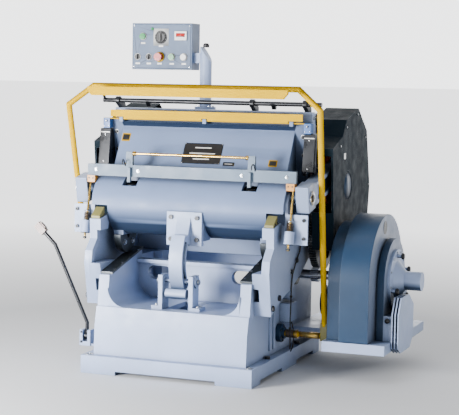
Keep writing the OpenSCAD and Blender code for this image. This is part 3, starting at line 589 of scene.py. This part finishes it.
def rods_and_springs():
    axis = Vector((0, math.sin(ROD_LEAN), math.cos(ROD_LEAN)))
    for s in (-1, 1):
        top = Vector((s * ROD_X, *ROD_TOP))
        spring = coil(f"buffer_spring_{s + 1}", top - axis * 0.274, axis, 0.0175, 0.0065, 5, 0.05,
                      "spring_steel", "platen")
        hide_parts("buffer_springs")
        lathe(f"spring_seat_{s + 1}", [(0.0072, 0), (0.022, 0), (0.022, 0.005), (0.0072, 0.005), (0.0072, 0)],
              top - axis * 0.218, axis, "bright_steel", "platen", 24)
        lathe(f"rod_nut_{s + 1}", [(0.0072, 0), (0.014, 0), (0.014, 0.012), (0.0072, 0.012), (0.0072, 0)],
              top - axis * 0.396, axis, "black_steel", "trip_bar", 6, 0.0006)
        x = s * 0.58
        torsion = coil(f"torsion_spring_{s + 1}", (x, *GUARD_HINGE), (s, 0, 0), 0.0245, 0.006, 8, 0.055,
                       "spring_steel", "frame")
        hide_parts("guard_springs")
        # hooks beside the uprights, clamps of the handle rod
        hook = smooth_path([(s * 0.45, -0.331, 1.31), (s * 0.45, -0.35, 1.345), (s * 0.447, -0.372, 1.352),
                            (s * 0.444, -0.384, 1.335), (s * 0.444, -0.382, 1.318)])
        tube(f"bar_hook_{s + 1}", hook, 0.004, "black_steel", "trip_bar")
        lathe(f"handle_clamp_{s + 1}",
              [(0.0085, -0.01), (0.015, -0.01), (0.015, 0.01), (0.0085, 0.01), (0.0085, -0.01)],
              (s * 0.392, -0.315, 1.39), (1, 0, 0), "brass", "trip_bar", 24)
        for i, dx in enumerate((-0.014, 0.014)):
            socket_bolt(f"block_screw_{s + 1}_{i}", (s * 0.689 + dx, -0.345, 1.222), (0, -1, 0), 0.009,
                        "black_steel", "trip_bar")
    for i, x in enumerate((-0.66, -0.36, 0.36, 0.66)):
        hexbolt(f"bar_bolt_{i}", (x, -0.33, 1.278), (0, -1, 0), 0.018, "bright_steel", "trip_bar")
    block("bar_lip", (-0.719, -0.0, -0.002), (0.719, 0.012, 0.002), "bar_paint", "trip_bar", 0.001,
          at=(0, -0.3, 1.3125))


def panel_pieces():
    y = PANEL_Y
    face = (0, -1, 0)
    # name, place across and up, inner and outer radius
    rings = (("button_start", -0.721, 2.172, 0.0227, 0.027), ("button_inch", -0.499, 2.029, 0.0227, 0.027),
             ("button_light", -0.407, 2.029, 0.0227, 0.027), ("estop", -0.592, 2.029, 0.0288, 0.035),
             ("selector_a", -0.761, 2.029, 0.0195, 0.024), ("selector_b", -0.675, 2.029, 0.0195, 0.024),
             ("timer_knob", -0.583, 2.167, 0.0345, 0.046))
    out = 0.0065
    for name, x, z, inner, r in rings:
        slot = {"estop": "yellow_paint", "timer_knob": "black_plastic"}.get(name, "white_plastic")
        lathe(name + "_bezel",
              [(inner, 0.0003), (r, 0.0003), (r, out * 0.7), (r * 0.93, out), (inner, out), (inner, 0.0003)],
              (x, y, z), face, slot, "frame", 40)
        block(name + "_tag", (-0.017, -0.0012, -0.006), (0.017, 0, 0.006), "white_plastic", "frame", 0.0005,
              at=(x, y, z - (0.062 if name == "timer_knob" else 0.047)))
    for k in range(11):
        a = math.radians(-140 + 28 * k)
        c = (-0.583 + 0.0395 * math.sin(a), y - 0.0066, 2.167 + 0.0395 * math.cos(a))
        block(f"timer_mark_{k}", (-0.0008, -0.0006, -0.003), (0.0008, 0, 0.003), "white_plastic", "frame",
              0.0, turn=Matrix.Rotation(a, 4, "Y"), at=c)
    block("timer_card", (-0.058, -0.0003, -0.06), (0.058, 0, 0.06), "white_plastic", "frame", 0.0,
          at=(-0.583, y, 2.167))
    block("counter_case", (-0.046, -0.012, -0.032), (0.046, 0, 0.032), "white_plastic", "frame", 0.002,
          at=(-0.431, y, 2.178))
    block("counter_glass", (-0.034, -0.0005, -0.013), (0.034, 0, 0.013), "red_plastic", "frame", 0.0,
          at=(-0.431, y - 0.012, 2.183))
    for i, x in enumerate((-0.451, -0.431, -0.411)):
        block(f"counter_key_{i}", (-0.006, -0.002, -0.004), (0.006, 0, 0.004), "white_plastic", "frame",
              0.0008, at=(x, y - 0.012, 2.158))
    for i, (x, z) in enumerate(((-0.79, 2.247), (-0.366, 2.247), (-0.79, 1.959), (-0.366, 1.959))):
        socket_bolt(f"panel_screw_{i}", (x, y, z), face, 0.009, "bright_steel", "frame")
    lathe("lamp_lens", [(0, 0), (0.011, 0), (0.011, 0.004), (0.008, 0.008), (0, 0.01)], (-0.65, y, 2.225),
          face, "green_plastic", "frame", 20)
    lathe("post_gland", [(0, 0), (0.022, 0), (0.022, 0.02), (0.012, 0.03), (0, 0.03)], (-0.268, 0.6, 2.1),
          (0, 0, 1), "black_plastic", "frame", 24, 0.001)
    for k in range(4):
        a = math.radians(45 + 90 * k)
        hexbolt(f"post_bolt_{k}", (-0.268 + 0.06 * math.cos(a), 0.6 + 0.06 * math.sin(a), 1.684), (0, 0, 1),
                0.018, "bright_steel", "frame")


def cover_pieces():
    # round port with a rim and a central boss, on the right gear cover
    lathe("port_rim", [(0.09, -0.004), (0.104, -0.004), (0.104, 0.0), (0.09, 0.0), (0.09, -0.004)],
          (0.851, 0.385, 1.187), (1, 0, 0), "cover_paint", "frame", 48, 0.001)
    lathe("port_lid", [(0, -0.006), (0.09, -0.006), (0.09, -0.002), (0.03, -0.001), (0.028, 0.0), (0, 0.0)],
          (COVER_X, 0.385, 1.187), (1, 0, 0), "guard_paint", "frame", 48)
    sheet_plate("cover_label", 0.02, 0.02, 0.001, facing((COVER_X, 0.3, 1.39), (1, 0, 0)), "white_plastic",
                "frame", 0.003)
    for s in (-1, 1):
        for i, (y, z) in enumerate(((0.19, 1.46), (0.33, 1.58), (0.58, 1.66), (0.79, 1.5), (0.88, 1.17),
                                    (0.62, 0.76), (0.2, 0.85))):
            socket_bolt(f"cover_screw_{s + 1}_{i}", (s * COVER_X, y, z), (s, 0, 0), 0.012, "bright_steel",
                        "frame")
    # flywheel guard and drive cover: a black disc of painted shade in the hand hole, knobs and screws of the
    # flange, ribbed fronts of the plates
    m = facing((1.1703, 0.171, 0.946), (1, 0, 0))
    # painted shade: a thin black disc stands for the dark inside of the hand hole
    sheet_plate("hand_hole_shade_disc", 0.045, 0.045, 0.0012, m, "black_plastic", "frame", 0.044)
    for k, turn in enumerate((20, 96, 200, 315)):
        a = math.radians(turn)
        at = (1.272, DRIVE.y + 0.16 * math.cos(a), DRIVE.z + 0.16 * math.sin(a))
        lathe(f"stud_knob_{k}",
              [(0, 0), (0.013, 0), (0.02, 0.004), (0.022, 0.012), (0.017, 0.02), (0, 0.022)], at, (1, 0, 0),
              "black_plastic", "frame", 24)
    for k in range(12):
        a = math.radians(30 * k + 8)
        socket_bolt(f"flange_screw_{k}",
                    (1.246, DRIVE.y + 0.186 * math.cos(a), DRIVE.z + 0.186 * math.sin(a)), (1, 0, 0), 0.014,
                    "bright_steel", "frame")
    for i in range(3):
        for k in range(9):
            block(f"plate_rib_{i}_{k}", (0.0005, -0.004, -0.004), (0.0075, 0.0, 0.004), "body_paint", "frame",
                  0.001, at=(1.286 + 0.02 * i, -0.06, 0.215 + 0.024 * k))
    lathe("cover_knob", [(0, 0), (0.009, 0), (0.009, 0.008), (0.016, 0.014), (0.016, 0.022), (0, 0.024)],
          (1.258, -0.04, 0.375), (0, -1, 0), "black_plastic", "frame", 24)
    # motor fins, clear of the foot and the terminal box
    r = 0.1095
    for k in range(24):
        a = math.radians(15 * k)
        if -0.72 < math.sin(a) < 0.8:
            block(f"motor_fin_{k}", (0, -0.002, 0), (0.25, 0.002, 0.012), "guard_paint", "frame", 0.001,
                  turn=Matrix.Rotation(a - math.pi / 2, 4, "X"),
                  at=(0.62, MOTOR.y + r * math.cos(a), MOTOR.z + r * math.sin(a)))


def frame_pieces():
    for s in (-1, 1):
        # rail screws, bolts of the bed, the cheeks, their pads and the brackets
        for i in range(4):
            y = -0.48 + 0.12 * i
            z = 0.637 + 0.2463 * (y + 0.535)
            lathe(f"rail_screw_{s + 1}_{i}",
                  [(0, -0.002), (0.009, -0.002), (0.009, 0.0006), (0.004, 0.0006), (0, -0.0012)],
                  (s * 0.447, y, z), (0, -0.2392, 0.971), "bright_steel", "frame", 20)
        for i, z in enumerate((1.36, 1.5, 1.64)):
            hexbolt(f"bed_edge_bolt_{s + 1}_{i}", (s * 0.7, 0.085 + 0.21 * (1.6 - z), z), (s, 0, 0), 0.02,
                    "bright_steel", "frame")
        for i, (y, z) in enumerate(((-0.12, 0.6), (-0.02, 0.66))):
            hexbolt(f"cheek_bolt_{s + 1}_{i}", (s * 0.632, y, z + 0.06), (s, 0, 0), 0.03, "black_steel",
                    "frame")
        for i, (y, z) in enumerate(((-0.44, 0.94), (-0.4, 0.95))):
            socket_bolt(f"pad_screw_{s + 1}_{i}", (s * 0.627, y, z + 0.05), (s, 0, 0), 0.012, "black_steel",
                        "frame")
        for i, y in enumerate((-0.5, -0.455)):
            hexbolt(f"bracket_bolt_{s + 1}_{i}", (s * 0.142, y, 0.442), (0, 0, 1), 0.02, "bright_steel",
                    "frame")
        lathe(f"roller_nut_{s + 1}", [(0, 0), (0.018, 0), (0.018, 0.012), (0, 0.014)],
              (s * 0.132, -0.475, 0.6), (s, 0, 0), "bright_steel", "frame", 6, 0.001)
        # collars of the guard and the anchor washers
        lathe(f"guard_collar_{s + 1}",
              [(0.0182, 0), (0.028, 0), (0.028, 0.016), (0.0182, 0.016), (0.0182, 0)],
              (0.642 if s > 0 else -0.6, *GUARD_HINGE), (s, 0, 0), "brass", "guard", 28, 0.001)
        for y in (-0.645, 0.645):
            lathe(f"anchor_nut_{s + 1}_{int(y > 0)}",
                  [(0.0135, 0), (0.024, 0), (0.024, 0.003), (0.0135, 0.003), (0.0135, 0)],
                  (s * 0.545, y, 0.115), (0, 0, 1), "bright_steel", "frame", 28)
    lathe("guard_sleeve", [(0.0183, 0), (0.0205, 0), (0.0205, 0.138), (0.0183, 0.138), (0.0183, 0)],
          (0.672, *GUARD_HINGE), (1, 0, 0), "brass", "guard", 32)
    block("guard_clamp", (-0.024, -0.032, -0.03), (0.0235, 0.026, 0.092), "olive_paint", "guard", 0.007,
          at=(0.8405, *GUARD_HINGE))
    lathe("clamp_screw", [(0, 0), (0.009, 0), (0.009, 0.003), (0, 0.004)], (0.8645, -0.03, 0.27), (1, 0, 0),
          "bright_steel", "guard", 18)
    for i, z in enumerate((0.19, 0.125)):
        socket_bolt(f"lever_screw_{i}", (-0.76, -0.325, z), (0, -1, 0), 0.014, "black_steel", "frame")
    # lever grip: black release clip and ribs
    m = Matrix.Translation((-1.07, -0.29, 0.848)) @ Matrix.Rotation(math.radians(-46.3), 4, "Y")
    for k in range(3):
        ring = [m @ Vector((-0.026, -0.018, 0.012 + 0.016 * k)),
                m @ Vector((-0.026, 0.018, 0.012 + 0.016 * k))]
        tube(f"grip_rib_{k}", ring, 0.0022, "grip_plastic", "hand_lever", 8)
    clip = smooth_path([m @ Vector(p) for p in ((0.026, 0, -0.012), (0.033, 0, 0.0), (0.034, 0, 0.02),
                                                (0.032, 0, 0.044))])
    tube("grip_clip", clip, 0.004, "black_plastic", "hand_lever")
    # right side: cable clips
    for i, (x, y, z) in enumerate(((0.64, -0.135, 0.5), (0.633, -0.12, 0.29))):
        lathe(f"cable_clip_{i}",
              [(0.0055, -0.006), (0.009, -0.006), (0.009, 0.006), (0.0055, 0.006), (0.0055, -0.006)],
              (x, y, z), (0, 0, 1), "black_plastic", "frame", 20)


make_camera()
make_world()
make_floor()
make_light("key", (-2.4, -4.6, 1.1), (0.1, -0.5, 0.5), 1.5, 600)
make_light("fill", (6.0, -5.0, 2.5), (0.4, 0, 0.9), 2.0, 60, (0.9, 0.95, 1))
make_light("top", (-0.4, -1.2, 6.0), (0, 0, 1), 2.4, 50)
finish_cad(ROUNDING)
platen_pieces()
rods_and_springs()
panel_pieces()
cover_pieces()
frame_pieces()
